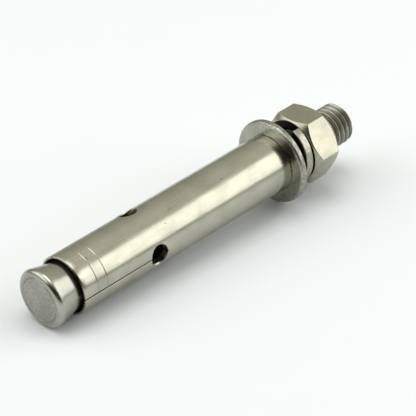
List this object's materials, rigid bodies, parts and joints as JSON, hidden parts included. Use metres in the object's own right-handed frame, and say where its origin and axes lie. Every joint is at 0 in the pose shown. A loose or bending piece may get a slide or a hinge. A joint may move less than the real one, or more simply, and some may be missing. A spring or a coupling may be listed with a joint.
{
  "type": "sleeve anchor",
  "caption": "Expansion anchor: a cone-headed bolt in a slit steel sleeve, with a flat washer, a split spring washer and a hexagon nut on its stud.",
  "frame": {"origin": "centre of the flat end face of the bolt's head, on which the anchor stands", "axes": "+Z along the bolt from its head to the tip of its thread, -Y towards the sleeve's first slit"},
  "size_m": [0.0205, 0.0204, 0.0948],
  "materials": {
    "turned_steel": "satin",
    "drawn_steel": "brushed along the tube",
    "stamped_steel": "satin",
    "coiled_steel": "satin",
    "nut_steel": "satin"
  },
  "bodies": {
    "bolt": {"bolt": "turned_steel"},
    "sleeve": {"sleeve": "drawn_steel"},
    "flat_washer": {"flat_washer": "stamped_steel"},
    "spring_washer": {"spring_washer": "coiled_steel"},
    "nut": {"hex_nut": "nut_steel"}
  },
  "joints": [
    {"name": "sleeve_spin", "type": "hinge", "parent": "bolt", "child": "sleeve", "pos_m": [0, 0, 0.04], "axis": [0, 0, 1], "continuous": true},
    {"name": "washer_spin", "type": "hinge", "parent": "bolt", "child": "flat_washer", "pos_m": [0, 0, 0.072], "axis": [0, 0, 1], "continuous": true},
    {"name": "nut_travel", "type": "slide", "parent": "bolt", "child": "spring_washer", "axis": [0, 0, 1], "range_m": [0, 0.0135]},
    {"name": "nut_turn", "type": "hinge", "parent": "spring_washer", "child": "nut", "pos_m": [0, 0, 0.0817], "axis": [0, 0, 1], "range_deg": [0, 3240]}
  ],
  "couplings": [
    {"joint": "nut_travel", "follows": "nut_turn", "m_per_rad": 0.00023873}
  ]
}
